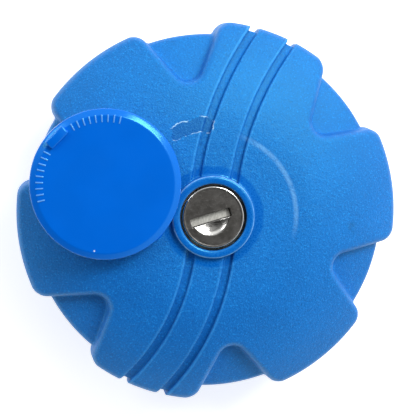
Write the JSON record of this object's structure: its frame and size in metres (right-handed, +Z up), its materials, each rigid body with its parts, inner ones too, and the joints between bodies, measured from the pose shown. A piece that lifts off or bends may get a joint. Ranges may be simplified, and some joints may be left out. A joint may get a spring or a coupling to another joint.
{
  "type": "lockable bayonet tank filler cap",
  "caption": "Round blue plastic filler cap with grip notches, two curved grooves, a central key lock and a swing-away dust cover.",
  "frame": {"origin": "on the cap's axis, at the underside of the bayonet plate, where the cap rests", "axes": "+Z up along the cap's axis towards the lock; +X and +Y across the cap, with the coupling bolts sliding along X"},
  "size_m": [0.09, 0.0896, 0.038],
  "materials": {
    "shell_blue": "fine moulded grain, satin",
    "cover_blue": "smooth gloss",
    "face_steel": "dark satin steel with fine scratches",
    "shutter_steel": "pale satin",
    "zinc": "die-cast",
    "brass": "machined",
    "spring_steel": "bright wire",
    "plated_steel": "zinc plated",
    "black_nylon": "glass-filled, satin",
    "white_acetal": "smooth",
    "seal_rubber": "matte"
  },
  "bodies": {
    "insert": {"bayonet_insert": "black_nylon", "bayonet_plate": "plated_steel", "bayonet_screws": "plated_steel", "clutch_ring": "plated_steel", "wave_spring": "spring_steel"},
    "seal": {"pressure_plate": "plated_steel", "neck_gasket": "seal_rubber"},
    "grip": {"grip_shell": "shell_blue", "lock_housing": "zinc", "lock_seal_ring": "seal_rubber", "housing_screws": "plated_steel", "bolt_guide": "black_nylon", "retaining_ring": "black_nylon", "retaining_screws": "plated_steel", "thrust_ring": "white_acetal", "pivot_wave_washer": "spring_steel"},
    "plug": {"lock_plug": "brass", "plug_face": "face_steel", "shutter_pin": "spring_steel", "shutter_spring": "spring_steel", "wafer_springs": "spring_steel", "cam_plate": "zinc", "cam_circlip": "spring_steel"},
    "shutter": {"key_shutter": "shutter_steel"},
    "wafer_set_a": {"wafers_a": "brass"},
    "wafer_set_b": {"wafers_b": "brass"},
    "bolt_a": {"coupling_bolt_a": "plated_steel"},
    "bolt_b": {"coupling_bolt_b": "plated_steel"},
    "cover": {"dust_cover": "cover_blue", "pivot_washer": "plated_steel", "pivot_screw": "plated_steel"}
  },
  "joints": [
    {"name": "grip_spin", "type": "hinge", "parent": "insert", "child": "grip", "pos_m": [0, 0, 0.02], "axis": [0, 0, 1], "continuous": true},
    {"name": "plug_turn", "type": "hinge", "parent": "grip", "child": "plug", "pos_m": [0, 0, 0.03], "axis": [0, 0, 1], "range_deg": [0, 90]},
    {"name": "bolt_a_slide", "type": "slide", "parent": "grip", "child": "bolt_a", "axis": [1, 0, 0], "range_m": [0, 0.003]},
    {"name": "bolt_b_slide", "type": "slide", "parent": "grip", "child": "bolt_b", "axis": [-1, 0, 0], "range_m": [0, 0.003]},
    {"name": "cover_swing", "type": "hinge", "parent": "grip", "child": "cover", "pos_m": [-0.01436, -0.00237, 0.034], "axis": [0, 0, 1], "range_deg": [-126.4, 0]},
    {"name": "shutter_swing", "type": "hinge", "parent": "plug", "child": "shutter", "pos_m": [-0.00061, 0.00201, 0.0311], "axis": [0.9568, 0.2907, 0], "range_deg": [0, 85], "stiffness_Nm_per_rad": 0.0004, "springref_deg": -17.19},
    {"name": "wafer_a_slide", "type": "slide", "parent": "plug", "child": "wafer_set_a", "axis": [0.9568, 0.2907, 0], "range_m": [0, 0.0006]},
    {"name": "wafer_b_slide", "type": "slide", "parent": "plug", "child": "wafer_set_b", "axis": [-0.9568, -0.2907, 0], "range_m": [0, 0.0006]},
    {"name": "seal_slide", "type": "slide", "parent": "insert", "child": "seal", "axis": [0, 0, 1], "range_m": [0, 0.0018], "stiffness_N_per_m": 4000, "springref_m": -0.002, "deforming": ["wave_spring"]}
  ],
  "couplings": [
    {"joint": "bolt_a_slide", "follows": "plug_turn", "m_per_rad": 0.0019098},
    {"joint": "bolt_b_slide", "follows": "plug_turn", "m_per_rad": 0.0019098}
  ]
}
